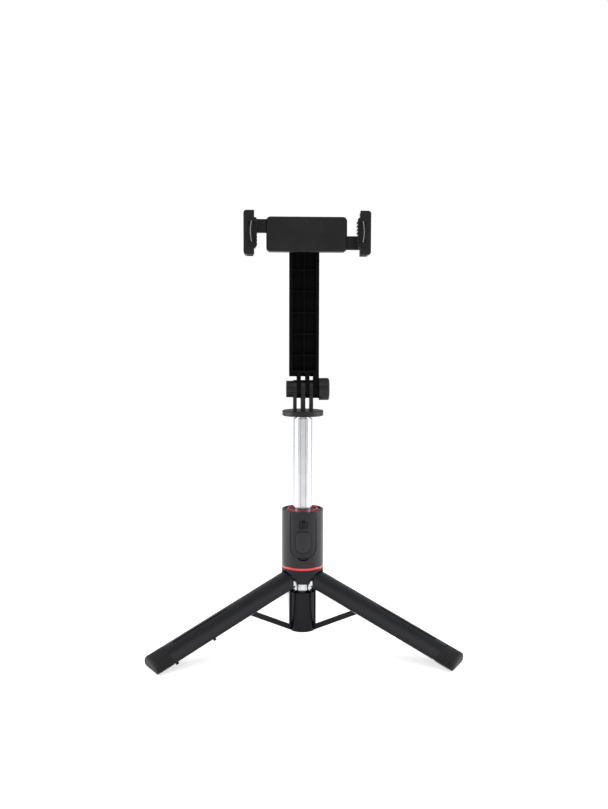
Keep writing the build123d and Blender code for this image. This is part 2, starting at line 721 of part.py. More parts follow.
# ---------------------------------------------------------------- mount base on the inner tube
inner_tube_radius = tube_radii[-1]
base_fingers = [(-1, outer_finger), (0, middle_finger), (1, outer_finger)]
finger_offset = middle_finger / 2 + neck_finger + outer_finger / 2 + 0.2
with BuildPart() as mount_base:
    with BuildSketch(Plane.XY.offset(disc_bottom)):
        Circle(disc_radius)
    extrude(amount=disc_height)
    fillet(mount_base.edges().group_by(Axis.Z)[-1], 0.8)
    chamfer(mount_base.edges().group_by(Axis.Z)[0], 0.5)
    for place, thickness in base_fingers:
        with BuildSketch(Plane.YZ.offset(place * finger_offset)):
            with Locations((0, tilt_z)):
                Circle(finger_radius)
            with Locations((0, disc_top - 0.5)):
                Rectangle(2 * finger_radius + 3, 0.2)
            make_hull()
        extrude(amount=thickness / 2, both=True)
    with Locations(Location((0, 0, tilt_z), (0, 90, 0))):
        Cylinder(pivot_bolt_radius + running_clearance, 40, mode=Mode.SUBTRACT)
    with BuildSketch(Plane.XY.offset(disc_bottom)):
        add(flatted_outline(inner_tube_radius))
    extrude(amount=disc_height / 2, mode=Mode.SUBTRACT)
    with BuildSketch(Plane.XZ.offset(-disc_radius)):
        with Locations((0, disc_bottom + disc_height / 4)):
            Circle(0.7)
    extrude(amount=disc_radius - inner_tube_radius + flat_depth, mode=Mode.SUBTRACT)
save(mount_base, "mount_base")

with BuildPart() as mount_base_pin:
    with BuildSketch(Plane.XZ.offset(-disc_radius + 0.3)):
        with Locations((0, disc_bottom + disc_height / 4)):
            Circle(0.7)
    extrude(amount=disc_radius - 0.3 - inner_tube_radius + flat_depth)
save(mount_base_pin, "mount_base_pin")

nut_face = finger_offset + outer_finger / 2
with BuildPart() as pivot_nut:
    with BuildSketch(Plane.YZ.offset(-nut_face - nut_width)):
        with Locations((0, tilt_z)):
            Circle(nut_radius)
            Circle(pivot_bolt_radius + running_clearance, mode=Mode.SUBTRACT)
            with PolarLocations(nut_radius + 0.1, 18):
                Circle(0.5, mode=Mode.SUBTRACT)
    extrude(amount=nut_width)
save(pivot_nut, "pivot_nut")

# ---------------------------------------------------------------- neck
swivel_boss = 9.0
swivel_pocket_radius = 5.2
neck_wall = neck_depth - neck_recess
neck_end_radius = neck_width / 2
neck_finger_places = [
    -(middle_finger + neck_finger) / 2 - 0.1,
    (middle_finger + neck_finger) / 2 + 0.1,
]
side_finger_left = nut_face + 0.2
with BuildPart() as neck_arm:
    with BuildSketch(Plane.XZ):
        with BuildLine():
            Polyline((neck_left, yoke_bottom), (neck_right, yoke_bottom), (neck_right, clamp_z))
            ThreePointArc((neck_right, clamp_z), (neck_offset, clamp_z + neck_end_radius),
                          (neck_left, clamp_z))
            Line((neck_left, clamp_z), (neck_left, yoke_bottom))
        make_face()
    extrude(amount=neck_depth / 2, both=True)
    chamfer(neck_arm.edges().filter_by(Axis.X).group_by(Axis.Z)[0], yoke_bevel)
    # open front, with a rim round it
    with BuildSketch(Plane.XZ.offset(neck_depth / 2)):
        with BuildLine():
            Polyline((neck_left + neck_rim, yoke_top), (neck_right - neck_rim, yoke_top),
                     (neck_right - neck_rim, clamp_z))
            ThreePointArc((neck_right - neck_rim, clamp_z),
                          (neck_offset, clamp_z + neck_end_radius - neck_rim),
                          (neck_left + neck_rim, clamp_z))
            Line((neck_left + neck_rim, clamp_z), (neck_left + neck_rim, yoke_top))
        make_face()
    extrude(amount=-neck_recess, mode=Mode.SUBTRACT)
    # ribs inside it, set back from the rim
    rib_front = neck_depth / 2 - 1.6
    neck_ribs = int((clamp_z - swivel_boss - yoke_top) / 15.0)
    with BuildSketch(Plane.XZ.offset(rib_front)):
        with Locations((neck_offset, (yoke_top + clamp_z) / 2)):
            Rectangle(neck_rib, clamp_z - yoke_top)
        for rib in range(neck_ribs):
            with Locations((neck_offset, yoke_top + 10.6 + 15.0 * rib)):
                Rectangle(neck_width - neck_rim, neck_rib)
        with Locations((swivel_x, clamp_z)):
            Circle(swivel_boss)
    extrude(amount=-(rib_front + neck_depth / 2 - neck_wall / 2))
    with BuildSketch(Plane.XZ.offset(neck_depth / 2)):
        with Locations((swivel_x, clamp_z)):
            Circle(washer_radius)
    extrude(amount=-2.4)
    # fingers of the tilt joint
    finger_spans = [(place - neck_finger / 2, place + neck_finger / 2)
                    for place in neck_finger_places]
    finger_spans.append((side_finger_left, neck_right))
    for finger_low, finger_high in finger_spans:
        with BuildSketch(Plane.YZ.offset(finger_low)):
            with Locations((0, tilt_z)):
                Circle(finger_radius)
            with Locations((0, yoke_bottom + yoke_bevel)):
                Rectangle(neck_depth, 0.2)
            make_hull()
        extrude(amount=finger_high - finger_low)
    with Locations(Location((0, 0, tilt_z), (0, 90, 0))):
        Cylinder(pivot_bolt_radius + running_clearance, 40, mode=Mode.SUBTRACT)
    # swivel hole from the front, and the nut's pocket at the back
    with BuildSketch(Plane.XZ.offset(neck_depth / 2)):
        with Locations((swivel_x, clamp_z)):
            Circle(swivel_screw_radius + running_clearance)
    extrude(amount=-neck_depth, mode=Mode.SUBTRACT)
    with BuildSketch(Plane.XZ.offset(-neck_depth / 2)):
        with Locations((swivel_x, clamp_z)):
            Circle(swivel_pocket_radius)
    extrude(amount=3.6, mode=Mode.SUBTRACT)
save(neck_arm, "neck_arm")

with BuildPart() as swivel_cover:
    with BuildSketch(Plane.XZ.offset(-neck_depth / 2 - 0.8)):
        with Locations((swivel_x, clamp_z)):
            Circle(swivel_pocket_radius + 1.2)
    extrude(amount=0.8)
    fillet(swivel_cover.edges().group_by(Axis.Y)[-1], 0.4)
save(swivel_cover, "swivel_cover")

with BuildPart() as swivel_washer:
    with BuildSketch(Plane.XZ.offset(neck_depth / 2)):
        with Locations((swivel_x, clamp_z)):
            Circle(washer_radius)
            Circle(swivel_screw_radius + running_clearance, mode=Mode.SUBTRACT)
    extrude(amount=washer_thickness)
save(swivel_washer, "swivel_washer")

# ---------------------------------------------------------------- thumb screw of the tilt joint
knob_face = neck_right + 0.2
with BuildPart() as thumb_knob:
    with BuildSketch(Plane.YZ.offset(knob_face)):
        with Locations((0, tilt_z)):
            Circle(knob_radius)
    extrude(amount=knob_width)
    fillet(thumb_knob.edges().group_by(Axis.X)[-1], 1.4)
    with BuildSketch(Plane.YZ.offset(knob_face + 1.6)):
        with Locations((0, tilt_z)):
            with PolarLocations(knob_radius + 0.5, 18):
                Circle(0.9)
    extrude(amount=knob_width, mode=Mode.SUBTRACT)
    with Locations(Location((knob_face + knob_width, 0, tilt_z), (0, 90, 0))):
        Cylinder(4.6, 2.0, mode=Mode.SUBTRACT)
    with Locations(Location((knob_face, 0, tilt_z), (0, 90, 0))):
        Cylinder(pivot_bolt_radius, 8.0, mode=Mode.SUBTRACT)
save(thumb_knob, "thumb_knob")

bolt_start = -nut_face - nut_width + 0.6
with BuildPart() as pivot_bolt:
    with BuildSketch(Plane.YZ.offset(bolt_start)):
        with Locations((0, tilt_z)):
            Circle(pivot_bolt_radius)
    extrude(amount=knob_face + 4.0 - bolt_start)
    chamfer(pivot_bolt.edges().group_by(Axis.X)[0], 0.4)
save(pivot_bolt, "pivot_bolt")

# ---------------------------------------------------------------- clamp
plate_screw_x = clamp_width / 2 - 3.2
swivel_head_radius = 4.2
swivel_head_height = 1.6
with BuildPart() as clamp_back_plate:
    with BuildSketch(Plane.XZ.offset(clamp_back)):
        with Locations((swivel_x, clamp_z)):
            RectangleRounded(clamp_width, clamp_height, 3.0)
            Circle(swivel_screw_radius + running_clearance, mode=Mode.SUBTRACT)
            with Locations((-plate_screw_x, 0), (plate_screw_x, 0)):
                Circle(0.9, mode=Mode.SUBTRACT)
    extrude(amount=back_plate_thickness)
    with BuildSketch(Plane.XZ.offset(cavity_back)):
        with Locations((swivel_x, clamp_z)):
            Circle(swivel_head_radius + running_clearance)
    extrude(amount=-swivel_head_height, mode=Mode.SUBTRACT)
save(clamp_back_plate, "clamp_back_plate")

with BuildPart() as clamp_front_cover:
    with BuildSketch(Plane.XZ.offset(cavity_back)):
        with Locations((swivel_x, clamp_z)):
            RectangleRounded(clamp_width, clamp_height, 3.0)
    extrude(amount=clamp_cavity + cover_wall)
    fillet(clamp_front_cover.edges().group_by(Axis.Y)[0], 0.7)
    inner_height = tongue_high - tongue_low + 2 * sliding_clearance
    for tongue_side, window_side in ((1, -1), (-1, 1)):
        with BuildSketch(Plane.XZ.offset(cavity_back)):
            with Locations((swivel_x + window_side * cover_wall, clamp_z
                            + tongue_side * tongue_middle)):
                Rectangle(clamp_width, inner_height)
        extrude(amount=clamp_cavity, mode=Mode.SUBTRACT)
    with Locations(Location((swivel_x, -cavity_back, clamp_z), (90, 0, 0))):
        with Locations((-plate_screw_x, 0), (plate_screw_x, 0)):
            Cylinder(0.9, 2 * clamp_cavity - 1.0, mode=Mode.SUBTRACT)
save(clamp_front_cover, "clamp_front_cover")

with BuildPart() as clamp_screws:
    with Locations(Location((swivel_x, -clamp_back, clamp_z), (90, 0, 0))):
        with Locations((-plate_screw_x, 0), (plate_screw_x, 0)):
            Cylinder(0.9, back_plate_thickness + clamp_cavity - 1.0,
                     align=(Align.CENTER, Align.CENTER, Align.MIN))
            Cylinder(1.7, 0.7, align=(Align.CENTER, Align.CENTER, Align.MAX))
save(clamp_screws, "clamp_screws")

with BuildPart() as swivel_screw:
    with Locations(Location((swivel_x, -cavity_back, clamp_z), (-90, 0, 0))):
        Cylinder(swivel_head_radius, swivel_head_height,
                 align=(Align.CENTER, Align.CENTER, Align.MIN))
        Cylinder(swivel_screw_radius, cavity_back + neck_depth / 2 - 0.8,
                 align=(Align.CENTER, Align.CENTER, Align.MIN))
save(swivel_screw, "swivel_screw")

with BuildPart() as swivel_nut:
    with BuildSketch(Plane.XZ.offset(-neck_depth / 2 + 3.5)):
        with Locations((swivel_x, clamp_z)):
            RegularPolygon(4.6, 6)
            Circle(swivel_screw_radius, mode=Mode.SUBTRACT)
    extrude(amount=-2.4)
save(swivel_nut, "swivel_nut")


def jaw(hand):
    """One jaw: hand is -1 for the left one, whose tongue is the upper one, and +1 for the right."""
    tongue_z = clamp_z - hand * tongue_middle
    wall_middle = swivel_x + hand * (jaw_inner + jaw_outer) / 2
    with BuildPart() as piece:
        with Locations((wall_middle, -(tongue_back + jaw_front + jaw_lip_thickness) / 2, clamp_z)):
            Box(jaw_wall, jaw_front + jaw_lip_thickness - tongue_back, jaw_height)
        lip_middle = swivel_x + hand * (jaw_outer - (jaw_lip_reach + jaw_wall) / 2)
        with Locations((lip_middle, -jaw_front - jaw_lip_thickness / 2, clamp_z)):
            Box(jaw_lip_reach + jaw_wall, jaw_lip_thickness, jaw_height)
        # base across the full height, then the tongue that slides in the housing
        base_middle = swivel_x + hand * (jaw_outer - (jaw_outer - clamp_width / 2 - jaw_in - 1) / 2)
        with Locations((base_middle, -tongue_back - tongue_thickness / 2, clamp_z)):
            Box(jaw_outer - clamp_width / 2 - jaw_in - 1, tongue_thickness, jaw_height)
        tongue_length = jaw_outer + tongue_reach
        with Locations((swivel_x + hand * (jaw_outer - tongue_length / 2),
                        -tongue_back - tongue_thickness / 2, tongue_z)):
            Box(tongue_length, tongue_thickness, tongue_high - tongue_low)
        outer_edges = piece.edges().filter_by(Axis.Y).group_by(Axis.X)[0 if hand < 0 else -1]
        fillet(outer_edges, 2.0)
        # the lip is notched where the pad comes through to the front
        notch_middle = swivel_x + hand * (jaw_inner - jaw_lip_reach)
        with Locations((notch_middle, -jaw_front - jaw_lip_thickness / 2, clamp_z)):
            Box(2 * jaw_lip_reach + 2 * running_clearance, 2 * jaw_lip_thickness,
                pad_height + 2 * running_clearance, mode=Mode.SUBTRACT)
        with Locations((swivel_x - hand * (tongue_reach - 1.5), -tongue_back
                        - tongue_thickness / 2, tongue_z)):
            Box(3.0 + spring_wire, 2 * tongue_thickness, 2 * spring_radius + 1.2,
                mode=Mode.SUBTRACT)
    return piece


def pad(hand):
    """Soft pad inside a jaw, with a small lip that hooks over the phone's edge."""
    pad_middle = swivel_x + hand * (jaw_inner - pad_thickness / 2)
    lip_middle = swivel_x + hand * (jaw_inner - (pad_thickness + pad_lip) / 2)
    lip_depth = jaw_lip_thickness + pad_proud
    with BuildPart() as piece:
        with Locations((pad_middle, -(clamp_front + jaw_front) / 2, clamp_z)):
            Box(pad_thickness, jaw_front - clamp_front, pad_height)
        with Locations((lip_middle, -jaw_front - lip_depth / 2, clamp_z)):
            Box(pad_thickness + pad_lip, lip_depth, pad_height)
        inner_edges = piece.edges().filter_by(Axis.Y).group_by(Axis.X)[-1 if hand < 0 else 0]
        fillet(inner_edges, 1.0)
        # shallow dish in the front, with a bowed outer edge
        dish_outer = swivel_x + hand * (jaw_inner - pad_frame)
        dish_bow = swivel_x + hand * (jaw_inner - pad_frame - 1.0)
        dish_inner = swivel_x + hand * (jaw_inner - pad_thickness - pad_lip + pad_frame)
        dish_half = pad_height / 2 - pad_frame - 2.0
        with BuildSketch(Plane.XZ.offset(jaw_front + lip_depth)):
            with BuildLine():
                ThreePointArc((dish_outer, clamp_z - dish_half), (dish_bow, clamp_z),
                              (dish_outer, clamp_z + dish_half))
                Polyline((dish_outer, clamp_z + dish_half), (dish_inner, clamp_z + dish_half),
                         (dish_inner, clamp_z - dish_half), (dish_outer, clamp_z - dish_half))
            make_face()
        extrude(amount=-0.8, mode=Mode.SUBTRACT)
    return piece


for name, hand in (("left", -1), ("right", 1)):
    jaw_arm = jaw(hand)
    save(jaw_arm, f"{name}_jaw_arm")
    jaw_pad = pad(hand)
    save(jaw_pad, f"{name}_jaw_pad")

    # extension spring from the tongue's end to the far wall of the housing
    spring_start = tongue_reach + 0.6
    spring_end = clamp_width / 2 - cover_wall
    spring_length = spring_end - spring_start
    spring_y = -tongue_back - tongue_thickness / 2
    spring_z = clamp_z - hand * tongue_middle
    start_x = swivel_x - hand * spring_start
    with BuildPart() as jaw_spring:
        with BuildLine():
            coil = Helix(pitch=1.25, height=spring_length - 2 * spring_wire,
                         radius=spring_radius - spring_wire,
                         center=(start_x, spring_y, spring_z), direction=(-hand, 0, 0))
        with BuildSketch(Plane(origin=coil @ 0, z_dir=coil % 0)):
            Circle(spring_wire)
        sweep(path=coil)
    save(jaw_spring, f"{name}_jaw_spring")

print("pivot_z", round(pivot_z, 3), "spreader", round(spreader_bottom, 2), round(spreader_top, 2))
print("mast", round(mast_bottom, 2), round(mast_top, 2), "body", body_bottom, body_top)
print("disc", round(disc_bottom, 2), round(disc_top, 2), "tilt", round(tilt_z, 2), round(clamp_z, 2))
print("mast_travel", round(mast_travel, 3), "strut", round(strut_length, 3), round(strut_angle, 3))
print("stage_travels", [round(travel, 2) for travel in stage_travels])
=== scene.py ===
# %% [markdown]
# # A selfie stick that stands on its own handle
#
# The CAD model gives every part its exact place and size. This lesson gives each part the finish it
# has in the hand: grained plastic, drawn chrome tube, red rings and rubber. Every length is in
# metres, and the frame is the one the CAD model uses, so nothing has to be fitted by eye.
#
# The first cell loads the frame. The box round it is kept, because a finish must never make the
# object bigger than it was designed.

# %% Load the frame
import json
import math

import bmesh
import bpy
from mathutils import Matrix, Vector

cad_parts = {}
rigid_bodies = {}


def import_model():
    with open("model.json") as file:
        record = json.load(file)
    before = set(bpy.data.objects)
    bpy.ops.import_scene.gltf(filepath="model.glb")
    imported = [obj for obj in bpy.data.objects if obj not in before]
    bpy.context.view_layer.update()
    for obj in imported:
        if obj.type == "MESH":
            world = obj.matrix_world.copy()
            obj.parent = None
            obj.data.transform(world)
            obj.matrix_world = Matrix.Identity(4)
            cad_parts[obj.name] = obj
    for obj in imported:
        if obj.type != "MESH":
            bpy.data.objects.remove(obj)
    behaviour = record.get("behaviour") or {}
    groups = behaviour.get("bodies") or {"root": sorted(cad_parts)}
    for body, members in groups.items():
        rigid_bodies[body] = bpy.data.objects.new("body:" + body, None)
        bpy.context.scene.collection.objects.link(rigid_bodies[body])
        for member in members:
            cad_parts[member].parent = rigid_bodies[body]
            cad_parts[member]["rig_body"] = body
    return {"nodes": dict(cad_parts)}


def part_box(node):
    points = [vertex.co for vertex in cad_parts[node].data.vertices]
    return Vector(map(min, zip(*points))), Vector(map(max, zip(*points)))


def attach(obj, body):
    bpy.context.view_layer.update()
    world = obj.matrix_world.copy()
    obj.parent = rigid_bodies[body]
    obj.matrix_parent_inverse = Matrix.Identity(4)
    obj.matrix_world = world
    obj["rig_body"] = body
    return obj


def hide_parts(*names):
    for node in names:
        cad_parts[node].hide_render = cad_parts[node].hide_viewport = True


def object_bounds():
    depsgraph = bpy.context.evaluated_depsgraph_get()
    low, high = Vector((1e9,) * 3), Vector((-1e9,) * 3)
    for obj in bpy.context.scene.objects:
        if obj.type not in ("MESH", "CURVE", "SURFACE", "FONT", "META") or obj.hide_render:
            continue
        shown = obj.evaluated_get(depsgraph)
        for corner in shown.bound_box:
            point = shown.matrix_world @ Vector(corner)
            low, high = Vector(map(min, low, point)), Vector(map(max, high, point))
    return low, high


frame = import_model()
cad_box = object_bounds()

nodes = frame["nodes"]

# %% [markdown]
# ## Camera
#
# A small object on a table is looked at from a little above its middle. A lens near 40 mm at about
# 63 cm keeps the legs from looking stretched. The camera could be aimed by a Track To constraint,
# but one matrix made of a step, a turn and a tilt is easier to read, and never changes by itself.

# %% Place the camera
MM = 0.001
SHARP_EDGE = math.radians(32)
camera_distance = 634 * MM
camera_height = 223 * MM
camera_turn = math.radians(-2.2)
camera_tilt = math.radians(90 - 4.62)
camera_roll = math.radians(0.15)

lens = bpy.data.cameras.new("table_view")
lens.lens = 39.5
lens.sensor_width = 36
lens.clip_end = 50
camera = bpy.data.objects.new("table_view", lens)
bpy.context.scene.collection.objects.link(camera)
camera.matrix_world = (
    Matrix.Rotation(camera_turn, 4, "Z")
    @ Matrix.Translation((0.8 * MM, -camera_distance, camera_height))
    @ Matrix.Rotation(camera_tilt, 4, "X")
    @ Matrix.Rotation(camera_roll, 4, "Z")
)
bpy.context.scene.camera = camera
print("camera at", [round(x, 3) for x in camera.location])

# %% [markdown]
# ## Studio
#
# Black plastic and chrome only show what is around them. A bright, even room makes the chrome
# nearly white, and two tall soft boxes, one on each side, draw soft upright bands on the handle.
# A spot or a sun would give small hard dots instead. The room looks pure white from the camera, and
# lights the object a little less strongly, so that the background stays clean.

# %% Light the room
scene = bpy.context.scene
scene.view_settings.view_transform = "Standard"

room = bpy.data.worlds.new("white_room")
room.use_nodes = True
scene.world = room
room_tree = room.node_tree
room_light = room_tree.nodes["Background"]
room_light.inputs["Color"].default_value = (0.97, 0.98, 1.0, 1)
room_light.inputs["Strength"].default_value = 0.5
room_seen = room_tree.nodes.new("ShaderNodeBackground")
room_seen.inputs["Color"].default_value = (1, 1, 1, 1)
room_seen.inputs["Strength"].default_value = 1.05
eye_ray = room_tree.nodes.new("ShaderNodeLightPath")
room_choice = room_tree.nodes.new("ShaderNodeMixShader")
room_tree.links.new(eye_ray.outputs["Is Camera Ray"], room_choice.inputs[0])
room_tree.links.new(room_light.outputs[0], room_choice.inputs[1])
room_tree.links.new(room_seen.outputs[0], room_choice.inputs[2])
room_tree.links.new(room_choice.outputs[0], room_tree.nodes["World Output"].inputs["Surface"])


def soft_box(name, place, aim, width, height, power):
    """A rectangular lamp at place that faces the point aim."""
    lamp = bpy.data.lights.new(name, "AREA")
    lamp.shape = "RECTANGLE"
    lamp.size = width
    lamp.size_y = height
    lamp.energy = power
    holder = bpy.data.objects.new(name, lamp)
    scene.collection.objects.link(holder)
    holder.location = place
    holder.rotation_euler = (Vector(aim) - Vector(place)).to_track_quat("-Z", "Y").to_euler()
    holder.visible_camera = False
    return holder


def dark_card(name, place, width, height):
    """An upright black card that only shows as a dark line in polished tube."""
    card = bmesh.new()
    bmesh.ops.create_grid(card, x_segments=1, y_segments=1, size=0.5)
    bmesh.ops.scale(card, vec=(width, height, 1), verts=card.verts)
    bmesh.ops.rotate(card, matrix=Matrix.Rotation(math.pi / 2, 3, "X"), verts=card.verts)
    turn = math.atan2(place[0], -place[1])
    bmesh.ops.rotate(card, matrix=Matrix.Rotation(turn, 3, "Z"), verts=card.verts)
    bmesh.ops.translate(card, vec=place, verts=card.verts)
    mesh = bpy.data.meshes.new(name)
    card.to_mesh(mesh)
    card.free()
    holder = bpy.data.objects.new(name, mesh)
    scene.collection.objects.link(holder)
    holder.visible_camera = False
    holder.visible_shadow = False
    holder.visible_diffuse = False
    return holder


cards = [
    dark_card("left_card", (-0.40, -0.72, 0.35), 0.06, 0.9),
    dark_card("right_card", (0.40, -0.72, 0.35), 0.06, 0.9),
]
side_power = 5.4
soft_box("left_box", (-0.8, -0.05, 0.30), (0, 0, 0.14), 0.5, 0.9, side_power)
soft_box("right_box", (0.8, -0.05, 0.30), (0, 0, 0.14), 0.5, 0.9, side_power)
soft_box("top_box", (0.1, -0.5, 1.1), (0, 0, 0.1), 1.0, 0.8, 3.0)

# %% [markdown]
# ## Writing shaders as maths
#
# A finish is a small network of nodes. Adding the nodes one at a time hides what they work out, so
# one class stands for a wire between nodes, and the usual signs work on it: 1 - mask adds a Math
# node that does exactly that. A second class is the finish itself, with one method for every other
# kind of node.

# %% The wire and the finish
class Wire:
    """A value on its way between two nodes. Arithmetic on it adds Math nodes."""

    def __init__(self, finish, socket):
        self.finish = finish
        self.socket = socket

    def maths(self, operation, first, second):
        return self.finish.node("ShaderNodeMath", {"operation": operation}, {0: first, 1: second})

    def __add__(self, other):
        return self.maths("ADD", self, other)

    def __radd__(self, other):
        return self.maths("ADD", other, self)

    def __sub__(self, other):
        return self.maths("SUBTRACT", self, other)

    def __rsub__(self, other):
        return self.maths("SUBTRACT", other, self)

    def __mul__(self, other):
        return self.maths("MULTIPLY", self, other)

    def __rmul__(self, other):
        return self.maths("MULTIPLY", other, self)


class Finish:
    """One named material, built node by node."""

    def __init__(self, name):
        self.material = bpy.data.materials.new(name)
        self.material.use_nodes = True
        self.tree = self.material.node_tree
        self.tree.nodes.clear()
        self.place = self.node("ShaderNodeTexCoord", output="Object")

    def node(self, kind, settings=None, inputs=None, output=0):
        """Add a node, set its settings first, then fill its sockets with values or wires."""
        made = self.tree.nodes.new(kind)
        for key, value in (settings or {}).items():
            if key == "stops":
                for element, (position, level) in zip(made.color_ramp.elements, value):
                    element.position = position
                    element.color = (level, level, level, 1)
            else:
                setattr(made, key, value)
        for key, value in (inputs or {}).items():
            if isinstance(value, Wire):
                self.tree.links.new(value.socket, made.inputs[key])
            else:
                made.inputs[key].default_value = value
        return Wire(self, made.outputs[output]) if made.outputs else None


print("shader classes ready:", Wire.__name__, Finish.__name__)

# %% [markdown]
# ## The patterns every surface is made of
#
# Real surfaces repeat a few patterns at different sizes. Noise gives grain and cloudiness, the same
# noise stretched in one direction gives drawn lines and fine scratches, and a ramp turns a pattern
# into separate marks. Sizes are given in millimetres, because that is how a grain is specified.

# %% Pattern helpers
def cloud(finish, size, detail=2.0, stretch=None):
    """Noise with features of about that many millimetres. stretch squeezes it along x, y and z."""
    place = finish.place
    if stretch is not None:
        place = finish.node("ShaderNodeMapping", inputs={"Vector": place, "Scale": stretch})
    return finish.node(
        "ShaderNodeTexNoise",
        inputs={"Vector": place, "Scale": 1000 / size, "Detail": detail, "Roughness": 0.55},
    )


def marks(finish, pattern, start, end):
    """0 where the pattern is under start, 1 where it is over end."""
    stops = [(start, 0.0), (end, 1.0)]
    return finish.node("ShaderNodeValToRGB", {"stops": stops}, {"Fac": pattern})


def blend(finish, amount, first, second):
    """A colour between two colours."""
    return finish.node(
        "ShaderNodeMix", {"data_type": "RGBA"}, {0: amount, 6: first, 7: second}, output=2
    )


def surface(finish, colour, roughness, height, relief, **fixed):
    """Finish the network: a Principled shader whose normal comes from the height pattern."""
    normal = finish.node(
        "ShaderNodeBump", inputs={"Strength": 1.0, "Distance": relief * MM, "Height": height}
    )
    sockets = {"Base Color": colour, "Roughness": roughness, "Normal": normal}
    sockets.update({key.replace("_", " "): value for key, value in fixed.items()})
    shader = finish.node("ShaderNodeBsdfPrincipled", inputs=sockets)
    finish.node("ShaderNodeOutputMaterial", inputs={"Surface": shader})
    return finish.material


print("pattern helpers ready")

# %% [markdown]
# ## Moulded plastic
#
# Most of the stick is ABS with a spark-eroded grain, a fine leathery texture the mould gives it.
# In the hand it gets slightly shinier where fingers rub, and picks up hairline scratches and a
# little pale dust. A bump map carries the grain, because at a tenth of a millimetre it is far too
# small to model. The same recipe makes the shell, hub, legs and clamp, each with its own shade,
# shine and grain.

# %% Moulded plastic finishes
def moulded(name, dark, light, shine, grain, relief, mirror=0.3):
    """Grained plastic between two shades. shine is its roughness, grain its size in millimetres."""
    finish = Finish(name)
    grain_height = cloud(finish, grain, detail=3.0)
    pores = cloud(finish, grain * 0.35, detail=1.0)
    rubbed = cloud(finish, 11.0, detail=2.0)
    scratch = marks(finish, cloud(finish, 1.3, detail=4.0, stretch=(1, 1, 0.06)), 0.66, 0.72)
    dust = marks(finish, cloud(finish, 0.5, detail=2.0), 0.71, 0.78)
    shade = blend(finish, marks(finish, rubbed, 0.3, 0.7), dark, light)
    shade = blend(finish, dust * 0.12, shade, (0.32, 0.31, 0.3, 1))
    roughness = shine + rubbed * 0.14 - 0.07 + grain_height * 0.06 - scratch * 0.05
    height = grain_height * 0.75 + pores * 0.25 - scratch * 0.12
    return surface(finish, shade, roughness, height, relief, Specular_IOR_Level=mirror)


shell_plastic = moulded(
    "shell_plastic", (0.005, 0.0052, 0.0066, 1), (0.008, 0.0083, 0.010, 1), 0.26, 0.30, 0.010, 0.34
)
remote_plastic = moulded(
    "remote_plastic", (0.012, 0.0122, 0.0145, 1), (0.017, 0.0173, 0.020, 1), 0.46, 0.24, 0.010, 0.26
)
button_plastic = moulded(
    "button_plastic", (0.015, 0.0152, 0.018, 1), (0.021, 0.0213, 0.024, 1), 0.38, 0.18, 0.006, 0.30
)
hub_plastic = moulded(
    "hub_plastic", (0.008, 0.0082, 0.0105, 1), (0.012, 0.0123, 0.015, 1), 0.42, 0.30, 0.012, 0.22
)
leg_plastic = moulded(
    "leg_plastic", (0.0038, 0.0041, 0.0056, 1), (0.0062, 0.0066, 0.0084, 1), 0.33, 0.26, 0.010, 0.30
)
strut_plastic = moulded(
    "strut_plastic", (0.004, 0.0042, 0.0052, 1), (0.006, 0.0062, 0.0072, 1), 0.38, 0.22, 0.008, 0.20
)
head_plastic = moulded(
    "head_plastic", (0.006, 0.006, 0.0068, 1), (0.009, 0.009, 0.0098, 1), 0.38, 0.28, 0.012, 0.30
)
neck_plastic = moulded(
    "neck_plastic", (0.0012, 0.0012, 0.0014, 1), (0.002, 0.002, 0.0022, 1), 0.5, 0.28, 0.012, 0.06
)
clamp_plastic = moulded(
    "clamp_plastic", (0.006, 0.006, 0.0068, 1), (0.009, 0.009, 0.0098, 1), 0.36, 0.30, 0.012, 0.30
)
print("moulded finishes made")

# %% [markdown]
# ## Polished black, red rings and rubber
#
# The spreader is moulded in a polished tool, so it has no grain, only the faint long waves called
# orange peel. The red rings are painted and clear-coated. The feet and jaw pads are rubber: it
# never shines, and its skin is a fine stipple with pale chalky dust.

# %% Polished, painted and rubber finishes
def polished_black(name):
    finish = Finish(name)
    peel = cloud(finish, 1.6, detail=1.0)
    smudge = cloud(finish, 7.0, detail=3.0)
    scratch = marks(finish, cloud(finish, 0.9, detail=4.0, stretch=(1, 1, 0.08)), 0.68, 0.73)
    shade = blend(finish, smudge, (0.003, 0.0032, 0.005, 1), (0.005, 0.0052, 0.008, 1))
    roughness = 0.10 + marks(finish, smudge, 0.4, 0.75) * 0.12 + scratch * 0.2
    return surface(finish, shade, roughness, peel, 0.006, Specular_IOR_Level=0.17)


def painted_red(name):
    finish = Finish(name)
    flake = cloud(finish, 0.12, detail=1.0)
    depth = cloud(finish, 3.0, detail=2.0)
    chip = marks(finish, cloud(finish, 0.7, detail=4.0), 0.70, 0.76)
    shade = blend(finish, depth, (0.60, 0.020, 0.024, 1), (0.72, 0.034, 0.036, 1))
    shade = blend(finish, chip * 0.35, shade, (0.30, 0.012, 0.014, 1))
    return surface(
        finish, shade, 0.26 + flake * 0.1, flake * 0.5 + depth, 0.006,
        Coat_Weight=0.4, Coat_Roughness=0.08,
    )


def rubber(name, dark, light):
    finish = Finish(name)
    stipple = cloud(finish, 0.45, detail=3.0)
    skin = cloud(finish, 5.0, detail=2.0)
    chalk = marks(finish, cloud(finish, 1.4, detail=5.0), 0.52, 0.8)
    shade = blend(finish, skin, dark, light)
    shade = blend(finish, chalk * 0.06, shade, (0.16, 0.155, 0.15, 1))
    return surface(finish, shade, 0.62 + skin * 0.15, stipple, 0.03, Specular_IOR_Level=0.15)


